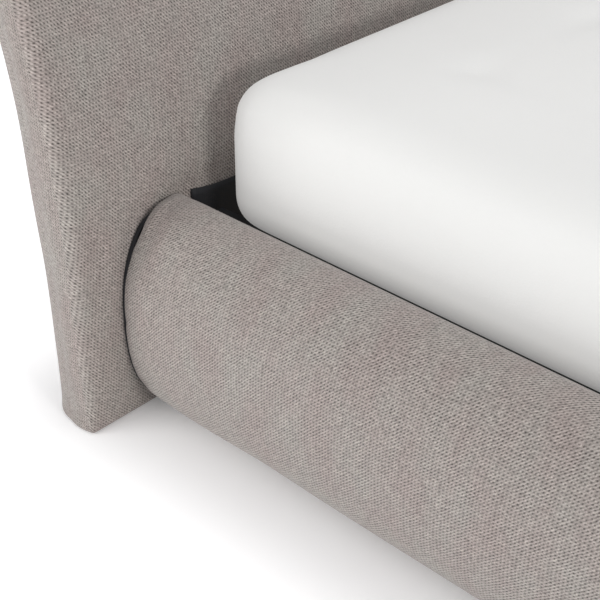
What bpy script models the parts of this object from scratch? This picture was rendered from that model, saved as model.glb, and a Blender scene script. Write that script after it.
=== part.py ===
"""Upholstered sleigh bed with a mattress. Metres, +Z up, +Y to the head, origin on the floor at the centre."""

import math
from dataclasses import dataclass

import bmesh
import bpy
from mathutils import Matrix, Vector

GAP = 0.0003  # between faces that touch on the real bed

# Mattress and the space that holds it
MATTRESS_WIDTH = 1.500
MATTRESS_LENGTH = 2.000
MATTRESS_THICKNESS = 0.230
MATTRESS_CORNER = 0.080
MATTRESS_BOTTOM_EDGE = 0.045
MATTRESS_CROWN_WIDTH = 0.050
MATTRESS_CROWN_RISE = 0.058
SIDE_GAP = 0.020
HEAD_GAP = 0.030
FOOT_GAP = 0.015

# Padded side rails, an upright oval with a flat inner face
RAIL_OUTER = 0.100
RAIL_INNER = 0.055
RAIL_TOP = 0.361
RAIL_BOTTOM = 0.003
RAIL_OUTER_POWER = 2.4
RAIL_INNER_POWER = 4.0
RAIL_END_ROUND = 0.025
BOARD_THICKNESS = 0.023
BOARD_BOTTOM = 0.060
BOARD_TOP = 0.295
LEDGE_WIDTH = 0.030
LEDGE_HEIGHT = 0.035

# End boards
END_OVERHANG = 0.072
COVER_BOTTOM = 0.002
FRONT_CORNER = 0.028
PADDING = 0.028
END_PADDING = 0.040
PANEL_THICKNESS = 0.004
GABLE_THICKNESS = 0.018
LINING_THICKNESS = 0.0015
LINING_TOP = 0.338

# Slatted base
SLAT_COUNT = 12
SLAT_WIDTH = 0.090
SLAT_THICKNESS = 0.018
SLAT_BOTTOM = 0.2747
BEAM_WIDTH = 0.045
BEAM_HEIGHT = 0.070
LEG_SPACING = 0.900

# Fixings
PLATE_THICKNESS = 0.004
PLATE_BOTTOM = 0.065
PLATE_TOP = 0.205
PLATE_ON_RAIL = 0.060
PLATE_ON_END = 0.045
BOLT_HEIGHTS = {"lower": 0.100, "upper": 0.170}
BOLT_RADIUS = 0.004
BOLT_LENGTH = 0.058
BOLT_HOLE = 0.0050

SIDES = {"left": -1, "right": 1}

INSIDE_X = MATTRESS_WIDTH / 2 + SIDE_GAP
RAIL_X = INSIDE_X + RAIL_OUTER + RAIL_INNER
END_X = RAIL_X + END_OVERHANG
BOARD_X = INSIDE_X + 0.0005
BOLT_X = BOARD_X - PLATE_THICKNESS - 0.022


@dataclass(frozen=True)
class EndBoard:
    """Side outline of an end board: upright face, long bend, leaning run, roll on top, fillet under the roll.

    Points are (out, up): out is the distance from the inner face plane, away from the mattress."""

    name: str
    thickness: float
    upright: float
    bend: float
    lean: float
    run: float
    roll: float
    fillet: float
    back_corner: float

    def axes(self):
        """Unit vectors along the leaning run and across it, towards the outer face."""
        return (
            Vector((math.sin(self.lean), math.cos(self.lean))),
            Vector((math.cos(self.lean), -math.sin(self.lean))),
        )

    def bend_point(self, radius, angle):
        return Vector((self.bend - radius * math.cos(angle), self.upright + radius * math.sin(angle)))

    def roll_centre(self):
        along, across = self.axes()
        return self.bend_point(self.bend, self.lean) + self.run * along + self.roll * across

    def fillet_offsets(self):
        """Distances from the roll's centre to the fillet's centre, across and down the leaning run."""
        across = self.thickness - self.roll + self.fillet
        return across, math.sqrt((self.roll + self.fillet) ** 2 - across**2)

    def reach(self):
        return self.roll_centre().x + self.roll

    def front(self, inset, steps=6):
        """Inner face, from the top of its upright stretch to the start of the roll."""
        along, across = self.axes()
        points = [self.bend_point(self.bend - inset, self.lean * i / steps) for i in range(steps + 1)]
        return points + [self.roll_centre() - (self.roll - inset) * across]

    def over_roll(self, inset_at, steps=16):
        """Top of the roll, round to where the fillet under it starts."""
        along, across = self.axes()
        offset, drop = self.fillet_offsets()
        turn = math.pi + math.atan2(drop, offset)
        points = []
        for i in range(1, steps):
            angle = turn * i / steps
            direction = along * math.sin(angle) - across * math.cos(angle)
            points.append(self.roll_centre() + (self.roll - inset_at(i / steps)) * direction)
        return points

    def under_roll(self, inset, steps=4):
        along, across = self.axes()
        offset, drop = self.fillet_offsets()
        centre = self.roll_centre() + offset * across - drop * along
        turn = math.atan2(drop, offset)
        points = []
        for i in range(steps + 1):
            angle = math.pi - turn * (1 - i / steps)
            direction = across * math.cos(angle) + along * math.sin(angle)
            points.append(centre + (self.fillet + inset) * direction)
        return points

    def back(self, inset, steps=6):
        """Outer face, from the end of the leaning run down to the top of its upright stretch."""
        radius = self.bend - self.thickness + inset
        return [self.bend_point(radius, self.lean * (1 - i / steps)) for i in range(steps + 1)]

    def outline(self, inset_at, bottom):
        """Closed outline. inset_at gives the inset, from 0 on the inner face to 1 on the outer face."""
        front, back = inset_at(0), inset_at(1)
        return (
            [Vector((front, bottom))]
            + self.front(front)
            + self.over_roll(inset_at)
            + self.under_roll(back)
            + self.back(back)
            + [Vector((self.thickness - back, bottom))]
        )


HEADBOARD = EndBoard("headboard", 0.118, 0.260, 1.550, math.radians(17), 0.340, 0.082, 0.035, 0.062)
FOOTBOARD = EndBoard("footboard", 0.105, 0.300, 0.450, math.radians(20), 0.070, 0.068, 0.025, 0.045)

INSIDE_LENGTH = HEAD_GAP + MATTRESS_LENGTH + FOOT_GAP
TOTAL_LENGTH = HEADBOARD.reach() + INSIDE_LENGTH + FOOTBOARD.reach()
HEAD_FACE = TOTAL_LENGTH / 2 - HEADBOARD.reach()
FOOT_FACE = HEAD_FACE - INSIDE_LENGTH
ENDS = {"head": (HEADBOARD, HEAD_FACE, 1), "foot": (FOOTBOARD, FOOT_FACE, -1)}


def material(name, colour, roughness, metallic=0.0):
    made = bpy.data.materials.new(name)
    made.use_nodes = True
    shader = made.node_tree.nodes["Principled BSDF"]
    shader.inputs["Base Color"].default_value = (*colour, 1.0)
    shader.inputs["Roughness"].default_value = roughness
    shader.inputs["Metallic"].default_value = metallic
    made.diffuse_color = (*colour, 1.0)
    return made


def make_object(name, bm, finish):
    """Puts a bmesh into the scene as a closed solid with its faces pointing out."""
    bmesh.ops.recalc_face_normals(bm, faces=bm.faces)
    mesh = bpy.data.meshes.new(name)
    bm.to_mesh(mesh)
    bm.free()
    made = bpy.data.objects.new(name, mesh)
    bpy.context.scene.collection.objects.link(made)
    if finish:
        mesh.materials.append(finish)
        mesh.shade_smooth()
        mesh.set_sharp_from_angle(angle=math.radians(35))
    else:
        made.hide_render = True
        made.display_type = "WIRE"
    return made


def loft(name, rings, finish):
    """Skin over rings of equal length, with a flat face on the first and the last."""
    bm = bmesh.new()
    rows = [[bm.verts.new(point) for point in ring] for ring in rings]
    for row, after in zip(rows, rows[1:]):
        for i in range(len(row)):
            j = (i + 1) % len(row)
            bm.faces.new((row[i], row[j], after[j], after[i]))
    bm.faces.new(reversed(rows[0]))
    bm.faces.new(rows[-1])
    return make_object(name, bm, finish)


def box(name, low, high, finish, lean=0.0):
    """A board between two corners, leaned about the X axis through its centre."""
    size = Vector(high) - Vector(low)
    bm = bmesh.new()
    bmesh.ops.create_cube(bm, size=1.0, matrix=Matrix.Diagonal((*size, 1.0)))
    made = make_object(name, bm, finish)
    made.location = (Vector(high) + Vector(low)) / 2
    made.rotation_euler.x = lean
    return made


def turned(name, profile, location, finish, steps=20):
    """A profile of (radius, height) points turned about its own Z axis."""
    bm = bmesh.new()
    line = [bm.verts.new((radius, 0, height)) for radius, height in profile]
    edges = [bm.edges.new(pair) for pair in zip(line, line[1:])]
    bmesh.ops.spin(bm, geom=line + edges, cent=(0, 0, 0), axis=(0, 0, 1), angle=math.tau, steps=steps)
    bmesh.ops.remove_doubles(bm, verts=bm.verts, dist=0.00001)
    made = make_object(name, bm, finish)
    made.location = location
    return made


def cut(made, cutter):
    modifier = made.modifiers.new("Cut " + cutter.name, "BOOLEAN")
    modifier.operation = "DIFFERENCE"
    modifier.solver = "EXACT"
    modifier.object = cutter


def add(made, part):
    modifier = made.modifiers.new("Join " + part.name, "BOOLEAN")
    modifier.operation = "UNION"
    modifier.solver = "EXACT"
    modifier.object = part


def across_bed(outline, face, outward, half_width):
    """Two rings that carry a side outline from one side of the bed to the other."""
    return [[(x, face + outward * out, up) for out, up in outline] for x in (-half_width, half_width)]


def round_steps(length, radius, count=5):
    """Places near an end of a padded piece, from its full section to its end, and the inset at each."""
    for i in range(count + 1):
        angle = math.pi / 2 * i / count
        yield length - radius + radius * math.sin(angle), radius * (1 - math.cos(angle))


def end_cover(board, face, outward, bolt_holes, finish):
    """Foam and fabric all round an end board. The corners are soft in front and rounder behind."""

    def corner_inset(x, share):
        radius = FRONT_CORNER + (board.back_corner - FRONT_CORNER) * min(1.0, 1.4 * share)
        beyond = max(0.0, abs(x) - (END_X - radius))
        return radius - math.sqrt(max(0.0, radius**2 - beyond**2))

    places = [x for x, _ in round_steps(END_X, board.back_corner, 7)]
    places = [-x for x in reversed(places)] + places
    rings = []
    for x in places:
        outline = board.outline(lambda share: corner_inset(x, share), COVER_BOTTOM)
        rings.append([(x, face + outward * out, up) for out, up in outline])
    cover = loft(board.name + "_cover", rings, finish)
    hollow = board.outline(lambda share: PADDING, -0.010)
    inner = across_bed(hollow, face, outward, END_X - END_PADDING)
    cut(cover, loft("hollow_in_" + cover.name, inner, None))
    cut(cover, bolt_holes)
    return cover


def sheet_inside(name, outer, inner, face, outward, half_width, finish):
    """A bent sheet between two matching paths."""
    return loft(name, across_bed(outer + inner[::-1], face, outward, half_width), finish)


def end_frame(board, face, outward, bolt_holes, panel_names, ply, softwood):
    """Timber frame inside an end board: two gables, cross rails and a bent sheet on each face."""
    inside = PADDING + GAP
    behind = PADDING + PANEL_THICKNESS + 2 * GAP
    half_width = END_X - END_PADDING - GAP
    low = 0.0045
    front_sheet = [Vector((inside, low))] + board.front(inside)
    front_inner = [Vector((inside + PANEL_THICKNESS, low))] + board.front(inside + PANEL_THICKNESS)
    front = sheet_inside(
        f"{board.name}_{panel_names[0]}", front_sheet, front_inner, face, outward, half_width, ply
    )
    cut(front, bolt_holes)
    back_sheet = board.back(inside) + [Vector((board.thickness - inside, low))]
    back_inner = board.back(inside + PANEL_THICKNESS)
    back_inner.append(Vector((board.thickness - inside - PANEL_THICKNESS, low)))
    sheet_inside(f"{board.name}_{panel_names[1]}", back_sheet, back_inner, face, outward, half_width, ply)

    gable = board.outline(lambda share: behind, low)
    for side, sign in SIDES.items():
        outer = sign * half_width
        rings = [
            [(x, face + outward * out, up) for out, up in gable]
            for x in (outer - sign * GABLE_THICKNESS, outer)
        ]
        loft(f"{board.name}_gable_{side}", rings, ply)

    span = half_width - GABLE_THICKNESS - GAP

    def cross_rail(name, out, up, deep, tall, lean=0.0):
        centre = face + outward * out
        return box(
            f"{board.name}_{name}",
            (-span, centre - deep / 2, up - tall / 2),
            (span, centre + deep / 2, up + tall / 2),
            softwood,
            -outward * lean,
        )

    depth = board.thickness - 2 * behind
    cross_rail("bottom_rail", board.thickness / 2, 0.018, depth, 0.025)
    bolt_rail = cross_rail("bolt_rail", behind + GAP + 0.0125, 0.140, 0.025, 0.190)
    cut(bolt_rail, bolt_holes)
    centre = board.roll_centre()
    cross_rail("top_rail", centre.x, centre.y, 0.050, 0.040, board.lean)
    if board is HEADBOARD:
        angle = board.lean * 0.6
        middle = board.bend_point(board.bend - board.thickness / 2, angle)
        cross_rail("middle_rail", middle.x, middle.y, 0.030, 0.090, angle)


def glide(name, x, y, finish):
    """Nylon glide nailed under a gable."""
    turned(name, [(0, 0), (0.011, 0), (0.013, 0.001), (0.013, 0.0042), (0, 0.0042)], (x, y, 0), finish)


def end_lining(bolt_holes, finish):
    """Black lining cloth on the headboard's lower face, between the side rails."""
    lining = box(
        "headboard_lining",
        (-INSIDE_X + 0.001, HEAD_FACE - GAP - LINING_THICKNESS, 0.012),
        (INSIDE_X - 0.001, HEAD_FACE - GAP, LINING_TOP),
        finish,
    )
    cut(lining, bolt_holes)


def rail_section(inset, steps=14):
    """Side rail's section as (inboard, up) points: two half superellipses that share the rail's height."""
    middle = (RAIL_TOP + RAIL_BOTTOM) / 2
    half_height = (RAIL_TOP - RAIL_BOTTOM) / 2 - inset
    points = []
    for i in range(2 * steps):
        angle = math.pi * i / steps - math.pi / 2
        across, up = math.cos(angle), math.sin(angle)
        outer = across > 0
        power = RAIL_OUTER_POWER if outer else RAIL_INNER_POWER
        reach = -(RAIL_OUTER - inset) if outer else RAIL_INNER
        inboard = RAIL_OUTER + reach * abs(across) ** (2 / power)
        points.append((inboard, middle + math.copysign(half_height * abs(up) ** (2 / power), up)))
    return points


def side_rail(side, sign, fabric, board_wood, ledge_wood):
    """Padded rail: a foam and fabric bolster, the board in its inner face, and the ledge for the slats."""
    middle = (HEAD_FACE + FOOT_FACE) / 2
    half = INSIDE_LENGTH / 2 - 2 * GAP
    ends = list(round_steps(half, RAIL_END_ROUND))
    places = [(-y, inset) for y, inset in reversed(ends)] + ends
    rings = [
        [(sign * (RAIL_X - inboard), middle + y, up) for inboard, up in rail_section(inset)]
        for y, inset in places
    ]
    cover = loft("side_rail_cover_" + side, rings, fabric)
    pocket = sorted((sign * (BOARD_X + BOARD_THICKNESS + GAP), sign * (INSIDE_X - 0.010)))
    pocket_cut = box(
        "board_pocket_" + side,
        (pocket[0], FOOT_FACE - 0.010, BOARD_BOTTOM - GAP),
        (pocket[1], HEAD_FACE + 0.010, BOARD_TOP + GAP),
        None,
    )
    cut(cover, pocket_cut)

    board = sorted((sign * BOARD_X, sign * (BOARD_X + BOARD_THICKNESS)))
    box(
        "side_rail_board_" + side,
        (board[0], middle - half + 0.002, BOARD_BOTTOM),
        (board[1], middle + half - 0.002, BOARD_TOP),
        board_wood,
    )
    ledge = sorted((sign * (BOARD_X - GAP), sign * (BOARD_X - GAP - LEDGE_WIDTH)))
    box(
        "slat_ledge_" + side,
        (ledge[0], FOOT_FACE + 0.015, SLAT_BOTTOM - GAP - LEDGE_HEIGHT),
        (ledge[1], HEAD_FACE - 0.015, SLAT_BOTTOM - GAP),
        ledge_wood,
    )


def corner_plate(name, sign, face, outward, bolt_holes, finish):
    """Steel angle that ties a side rail's board to an end board."""
    x = sign * (BOARD_X - GAP)
    y = face - outward * (2 * GAP + (LINING_THICKNESS if outward > 0 else 0))
    thick_x, thick_y = sign * PLATE_THICKNESS, outward * PLATE_THICKNESS
    outline = [
        (x, y),
        (x - sign * PLATE_ON_END, y),
        (x - sign * PLATE_ON_END, y - thick_y),
        (x - thick_x, y - thick_y),
        (x - thick_x, y - outward * PLATE_ON_RAIL),
        (x, y - outward * PLATE_ON_RAIL),
    ]
    plate = loft(name, [[(*point, up) for point in outline] for up in (PLATE_BOTTOM, PLATE_TOP)], finish)
    cut(plate, bolt_holes)


def bolt(name, x, face, outward, up, finish):
    """Button-head bolt with a socket, from the corner plate into the end board's bolt rail."""
    head, deep, radius = 0.0045, 0.0025, 0.0080
    profile = [
        (0, head - deep),
        (0.0027, head - deep),
        (0.0027, head),
        (0.0052, head),
        (radius, 0.0012),
        (radius, 0),
        (BOLT_RADIUS, 0),
        (BOLT_RADIUS, -BOLT_LENGTH),
        (0, -BOLT_LENGTH),
    ]
    under_head = PLATE_THICKNESS + 3 * GAP + (LINING_THICKNESS if outward > 0 else 0)
    made = turned(name, profile, (x, face - outward * under_head, up), finish, steps=16)
    made.rotation_euler.x = outward * math.radians(90)


def bolt_hole_cutter(name, face, outward):
    """Four round holes for one end board's bolts."""
    bm = bmesh.new()
    drill = {"cap_ends": True, "segments": 16, "radius1": BOLT_HOLE, "radius2": BOLT_HOLE, "depth": 0.090}
    for sign in SIDES.values():
        for up in BOLT_HEIGHTS.values():
            place = Matrix.Translation((sign * BOLT_X, face + outward * 0.020, up))
            place @= Matrix.Rotation(math.radians(90), 4, "X")
            bmesh.ops.create_cone(bm, matrix=place, **drill)
    return make_object(name, bm, None)


def beam_hanger(name, face, outward, finish):
    """Steel shoe that carries an end of the centre beam."""
    wall, deep = 0.003, 0.050
    half = BEAM_WIDTH / 2 + 0.0005
    floor = SLAT_BOTTOM - GAP - BEAM_HEIGHT - GAP
    y = face - outward * (2 * GAP + (LINING_THICKNESS if outward > 0 else 0))
    section = [
        (-half - wall, floor - wall),
        (half + wall, floor - wall),
        (half + wall, SLAT_BOTTOM - 0.012),
        (half, SLAT_BOTTOM - 0.012),
        (half, floor),
        (-half, floor),
        (-half, SLAT_BOTTOM - 0.012),
        (-half - wall, SLAT_BOTTOM - 0.012),
    ]
    rings = [[(x, y - outward * reach, up) for x, up in section] for reach in (wall / 2, deep)]
    shoe = loft(name, rings, finish)
    plate_y = sorted((y, y - outward * wall))
    plate_low = (-0.052, plate_y[0], floor - 0.012)
    plate = box("plate_of_" + name, plate_low, (0.052, plate_y[1], SLAT_BOTTOM - 0.008), None)
    add(shoe, plate)


def centre_leg(end, y, wood, plastic):
    """Turned leg under the centre beam, with a screw-in levelling foot."""
    top = SLAT_BOTTOM - 2 * GAP - BEAM_HEIGHT
    bottom, bore, bore_top = 0.026, 0.0056, 0.084
    leg = [
        (0, top),
        (0.024, top),
        (0.024, top - 0.040),
        (0.019, bottom + 0.006),
        (0.018, bottom),
        (bore, bottom),
        (bore, bore_top),
        (0, bore_top),
    ]
    turned("centre_leg_" + end, leg, (0, y, 0), wood)
    foot = [(0, 0), (0.021, 0), (0.023, 0.002), (0.023, 0.007), (0.010, 0.010), (0.005, 0.011)]
    foot += [(0.005, 0.064), (0, 0.064)]
    turned("levelling_foot_" + end, foot, (0, y, 0), plastic, steps=16)


def rounded_rectangle(half_x, half_y, corner, steps=5):
    points = []
    for quarter, (sign_x, sign_y) in enumerate(((1, 1), (-1, 1), (-1, -1), (1, -1))):
        for i in range(steps + 1):
            angle = math.pi / 2 * (quarter + i / steps)
            points.append(
                (
                    sign_x * (half_x - corner) + corner * math.cos(angle),
                    sign_y * (half_y - corner) + corner * math.sin(angle),
                )
            )
    return points


def mattress(low, finish):
    """Sprung mattress with rounded corners, a soft bottom edge and a crown that rises from its side panel."""
    middle = HEAD_FACE - HEAD_GAP - MATTRESS_LENGTH / 2
    high = low + MATTRESS_THICKNESS
    levels = []
    for angle in (math.pi / 2 * i / 4 for i in range(5)):
        rise = MATTRESS_BOTTOM_EDGE * (1 - math.cos(angle))
        levels.append((low + rise, MATTRESS_BOTTOM_EDGE * (1 - math.sin(angle))))
    for angle in (math.pi / 2 * i / 4 for i in range(5)):
        rise = MATTRESS_CROWN_RISE * (1 - math.sin(angle))
        levels.append((high - rise, MATTRESS_CROWN_WIDTH * (1 - math.cos(angle))))
    rings = []
    for up, inset in levels:
        plan = rounded_rectangle(
            MATTRESS_WIDTH / 2 - inset, MATTRESS_LENGTH / 2 - inset, MATTRESS_CORNER - inset
        )
        rings.append([(x, middle + y, up) for x, y in plan])
    loft("mattress", rings, finish)


def main():
    for old in list(bpy.data.objects):
        bpy.data.objects.remove(old, do_unlink=True)

    weave = material("woven_upholstery", (0.36, 0.32, 0.29), 0.90)
    lining_cloth = material("black_lining", (0.012, 0.014, 0.017), 0.90)
    ticking = material("mattress_ticking", (0.80, 0.80, 0.79), 0.80)
    ply = material("poplar_plywood", (0.62, 0.47, 0.30), 0.60)
    softwood = material("sawn_softwood", (0.68, 0.52, 0.34), 0.65)
    steel = material("zinc_plated_steel", (0.56, 0.57, 0.58), 0.35, 1.0)
    nylon = material("black_nylon", (0.02, 0.02, 0.02), 0.45)

    panel_names = {"head": ("front_panel", "back_panel"), "foot": ("inner_panel", "outer_panel")}
    for end, (board, face, outward) in ENDS.items():
        bolt_holes = bolt_hole_cutter("bolt_holes_" + end, face, outward)
        end_cover(board, face, outward, bolt_holes, weave)
        end_frame(board, face, outward, bolt_holes, panel_names[end], ply, softwood)
        if end == "head":
            end_lining(bolt_holes, lining_cloth)
        for side, sign in SIDES.items():
            glide_x = sign * (END_X - END_PADDING - GAP - GABLE_THICKNESS / 2 - 0.005)
            glide(f"glide_{end}_{side}", glide_x, face + outward * board.thickness / 2, nylon)
            corner_plate(f"corner_plate_{end}_{side}", sign, face, outward, bolt_holes, steel)
            for level, up in BOLT_HEIGHTS.items():
                bolt(f"bolt_{end}_{side}_{level}", sign * BOLT_X, face, outward, up, steel)
        beam_hanger("beam_hanger_" + end, face, outward, steel)

    for side, sign in SIDES.items():
        side_rail(side, sign, weave, ply, softwood)

    box(
        "centre_beam",
        (-BEAM_WIDTH / 2, FOOT_FACE + 0.006, SLAT_BOTTOM - GAP - BEAM_HEIGHT),
        (BEAM_WIDTH / 2, HEAD_FACE - 0.006, SLAT_BOTTOM - GAP),
        softwood,
    )
    mattress_middle = HEAD_FACE - HEAD_GAP - MATTRESS_LENGTH / 2
    for end, side in (("head", 1), ("foot", -1)):
        centre_leg(end, mattress_middle + side * LEG_SPACING / 2, softwood, nylon)

    slat_half = INSIDE_X - 0.003
    pitch = (MATTRESS_LENGTH - SLAT_WIDTH - 0.040) / (SLAT_COUNT - 1)
    for i in range(SLAT_COUNT):
        y = mattress_middle + (i - (SLAT_COUNT - 1) / 2) * pitch
        box(
            f"slat_{i + 1:02d}",
            (-slat_half, y - SLAT_WIDTH / 2, SLAT_BOTTOM),
            (slat_half, y + SLAT_WIDTH / 2, SLAT_BOTTOM + SLAT_THICKNESS),
            softwood,
        )
    mattress(SLAT_BOTTOM + SLAT_THICKNESS + GAP, ticking)


main()
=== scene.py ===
"""Upholstered sleigh bed: the finished look of each piece. Metres, +Z up, +Y to the head."""

import math

import bmesh
import bpy
import numpy as np
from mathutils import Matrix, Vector


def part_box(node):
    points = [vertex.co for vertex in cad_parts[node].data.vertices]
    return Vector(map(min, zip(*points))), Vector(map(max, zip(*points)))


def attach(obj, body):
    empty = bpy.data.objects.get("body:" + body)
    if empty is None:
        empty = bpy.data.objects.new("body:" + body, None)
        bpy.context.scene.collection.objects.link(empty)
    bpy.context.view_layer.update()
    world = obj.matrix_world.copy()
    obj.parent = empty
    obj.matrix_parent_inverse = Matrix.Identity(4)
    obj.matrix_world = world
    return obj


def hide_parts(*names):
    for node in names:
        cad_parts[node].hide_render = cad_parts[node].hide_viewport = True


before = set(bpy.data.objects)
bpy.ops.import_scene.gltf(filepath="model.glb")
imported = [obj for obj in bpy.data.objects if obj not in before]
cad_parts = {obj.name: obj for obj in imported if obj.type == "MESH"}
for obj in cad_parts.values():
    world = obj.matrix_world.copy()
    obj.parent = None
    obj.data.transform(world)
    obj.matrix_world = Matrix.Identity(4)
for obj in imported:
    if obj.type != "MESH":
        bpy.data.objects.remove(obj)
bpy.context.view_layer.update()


# ---- Studio: a pale floor, soft white light from three sides, and the camera ----
# The camera stands outside the head end's left corner and looks down along the side rail.
# One soft light stands beyond the headboard on the left, one beyond the foot, and one hangs overhead.

head_low, head_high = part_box("headboard_cover")
foot_low, foot_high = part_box("footboard_cover")
HEAD_FACE = head_low.y
FOOT_FACE = foot_high.y
END_X = head_high.x

CAMERA_BESIDE = 0.9236  # outward from the headboard's end
CAMERA_BEFORE = 1.311  # towards the foot from the headboard's face
CAMERA_HEIGHT = 1.270
CAMERA_TURN = math.radians(46.758)  # from straight along the bed towards +X
CAMERA_DOWN = math.radians(32.914)
CAMERA_LENS = 77.4


def linear(code):
    """An sRGB hex colour as linear RGB: x/12.92 in the toe, ((x + 0.055)/1.055)^2.4 above it."""
    parts = np.array([int(code[i : i + 2], 16) for i in (1, 3, 5)]) / 255
    return np.where(parts <= 0.04045, parts / 12.92, ((parts + 0.055) / 1.055) ** 2.4)


def colour(code):
    return (*linear(code), 1.0)


def add_node(tree, kind, settings=None, inputs=None):
    """Adds a node. Settings are its properties. Inputs are sockets given a value or a node's output."""
    made = tree.nodes.new("ShaderNode" + kind)
    for name, value in (settings or {}).items():
        setattr(made, name, value)
    for name, value in (inputs or {}).items():
        if isinstance(value, bpy.types.NodeSocket):
            tree.links.new(value, made.inputs[name])
        else:
            made.inputs[name].default_value = value
    return made


def new_material(name, roughness, sheen=0.0, metallic=0.0, ior=1.5):
    """A material with its shader's plain settings made. Its tree and shader are returned with it."""
    made = bpy.data.materials.new(name)
    made.use_nodes = True
    shader = made.node_tree.nodes["Principled BSDF"]
    shader.inputs["Roughness"].default_value = roughness
    shader.inputs["Sheen Weight"].default_value = sheen
    shader.inputs["Sheen Roughness"].default_value = 0.5
    shader.inputs["Metallic"].default_value = metallic
    shader.inputs["IOR"].default_value = ior
    return made, made.node_tree, shader


camera = bpy.data.objects.new("camera", bpy.data.cameras.new("camera"))
bpy.context.scene.collection.objects.link(camera)
camera.location = (-END_X - CAMERA_BESIDE, HEAD_FACE - CAMERA_BEFORE, CAMERA_HEIGHT)
camera.rotation_euler = (math.pi / 2 - CAMERA_DOWN, 0, -CAMERA_TURN)
camera.data.lens = CAMERA_LENS
camera.data.sensor_width = 36.0
camera.data.clip_start = 0.05
bpy.context.scene.camera = camera
bpy.context.scene.view_settings.view_transform = "Standard"


def studio_light(name, place, target, size, power, tint):
    light = bpy.data.lights.new(name, "AREA")
    light.size = size
    light.energy = power
    light.color = linear(tint)
    lamp = bpy.data.objects.new(name, light)
    bpy.context.scene.collection.objects.link(lamp)
    lamp.location = place
    lamp.rotation_euler = (Vector(target) - Vector(place)).to_track_quat("-Z", "Y").to_euler()


studio_light("side_light", (-3.2, 2.0, 1.5), (-1.0, 0.5, 0.2), 2.0, 42, "#FFFEFC")
studio_light("front_light", (-1.5, -3.6, 1.7), (-0.9, 0.9, 0.5), 1.0, 65, "#FFFDFB")
studio_light("overhead_light", (0.6, 0.6, 3.4), (0.0, 0.0, 0.4), 3.4, 43, "#FFFFFF")

# The room gives a dim even light, and is white where the camera sees it.
ROOM_LIGHT = 0.43
world = bpy.data.worlds.new("pale_room")
world.use_nodes = True
ray = add_node(world.node_tree, "LightPath")
seen = add_node(
    world.node_tree,
    "MapRange",
    None,
    {"Value": ray.outputs["Is Camera Ray"], "To Min": ROOM_LIGHT, "To Max": 1.0},
)
world.node_tree.nodes["Background"].inputs["Color"].default_value = colour("#FBFCFF")
world.node_tree.links.new(seen.outputs[0], world.node_tree.nodes["Background"].inputs["Strength"])
bpy.context.scene.world = world

FLOOR_SIZE = 16.0
bpy.ops.mesh.primitive_plane_add(size=FLOOR_SIZE)
floor = bpy.context.object
floor.name = "studio_floor"
floor_paint, floor_tree, floor_shader = new_material("matt_white_floor", 0.75)
floor_shader.inputs["Base Color"].default_value = colour("#F9F9FA")
floor_shader.inputs["Emission Color"].default_value = colour("#FFFFFF")

# Painted light: the floor glows though it is no lamp, more the further it is from the bed's outline, so that
# painted shade lies close round the bed.
floor_place = add_node(floor_tree, "TexCoord").outputs["Object"]
from_middle = add_node(floor_tree, "VectorMath", {"operation": "ABSOLUTE"}, {0: floor_place})
bed_half = (-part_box("side_rail_cover_left")[0].x, (HEAD_FACE - FOOT_FACE) / 2, 1.0)
past_edge = add_node(
    floor_tree, "VectorMath", {"operation": "SUBTRACT"}, {0: from_middle.outputs[0], 1: bed_half}
)
outside = add_node(
    floor_tree, "VectorMath", {"operation": "MAXIMUM"}, {0: past_edge.outputs[0], 1: (0.0, 0.0, 0.0)}
)
from_bed = add_node(floor_tree, "VectorMath", {"operation": "LENGTH"}, {0: outside.outputs[0]})
# Painted light: emission strength from 0.11 beside the bed to 0.46 a quarter metre out.
painted_floor_light = add_node(
    floor_tree,
    "MapRange",
    {"interpolation_type": "SMOOTHSTEP"},
    {"Value": from_bed.outputs["Value"], "From Min": -0.02, "From Max": 0.25, "To Min": 0.11, "To Max": 0.46},
)
floor_tree.links.new(painted_floor_light.outputs[0], floor_shader.inputs["Emission Strength"])
floor.data.materials.append(floor_paint)


# ---- Fabric: chunky basket-like weave in taupe ----
# A heavy polyester chenille: pairs of yarns cross at 5.4 mm and leave a small dark hole at each
# crossing, so the cloth shows rows of grains along the bias, with soft pile and faded patches.

WEAVE_PITCH = 0.0054

# How strongly each wave shows: along the bias, along the weft, along the warp and across the bias.
BIAS_WEIGHT = 1.7
WEFT_WEIGHT = 0.5
WARP_WEIGHT = 0.7
CROSS_WEIGHT = 0.35


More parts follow.
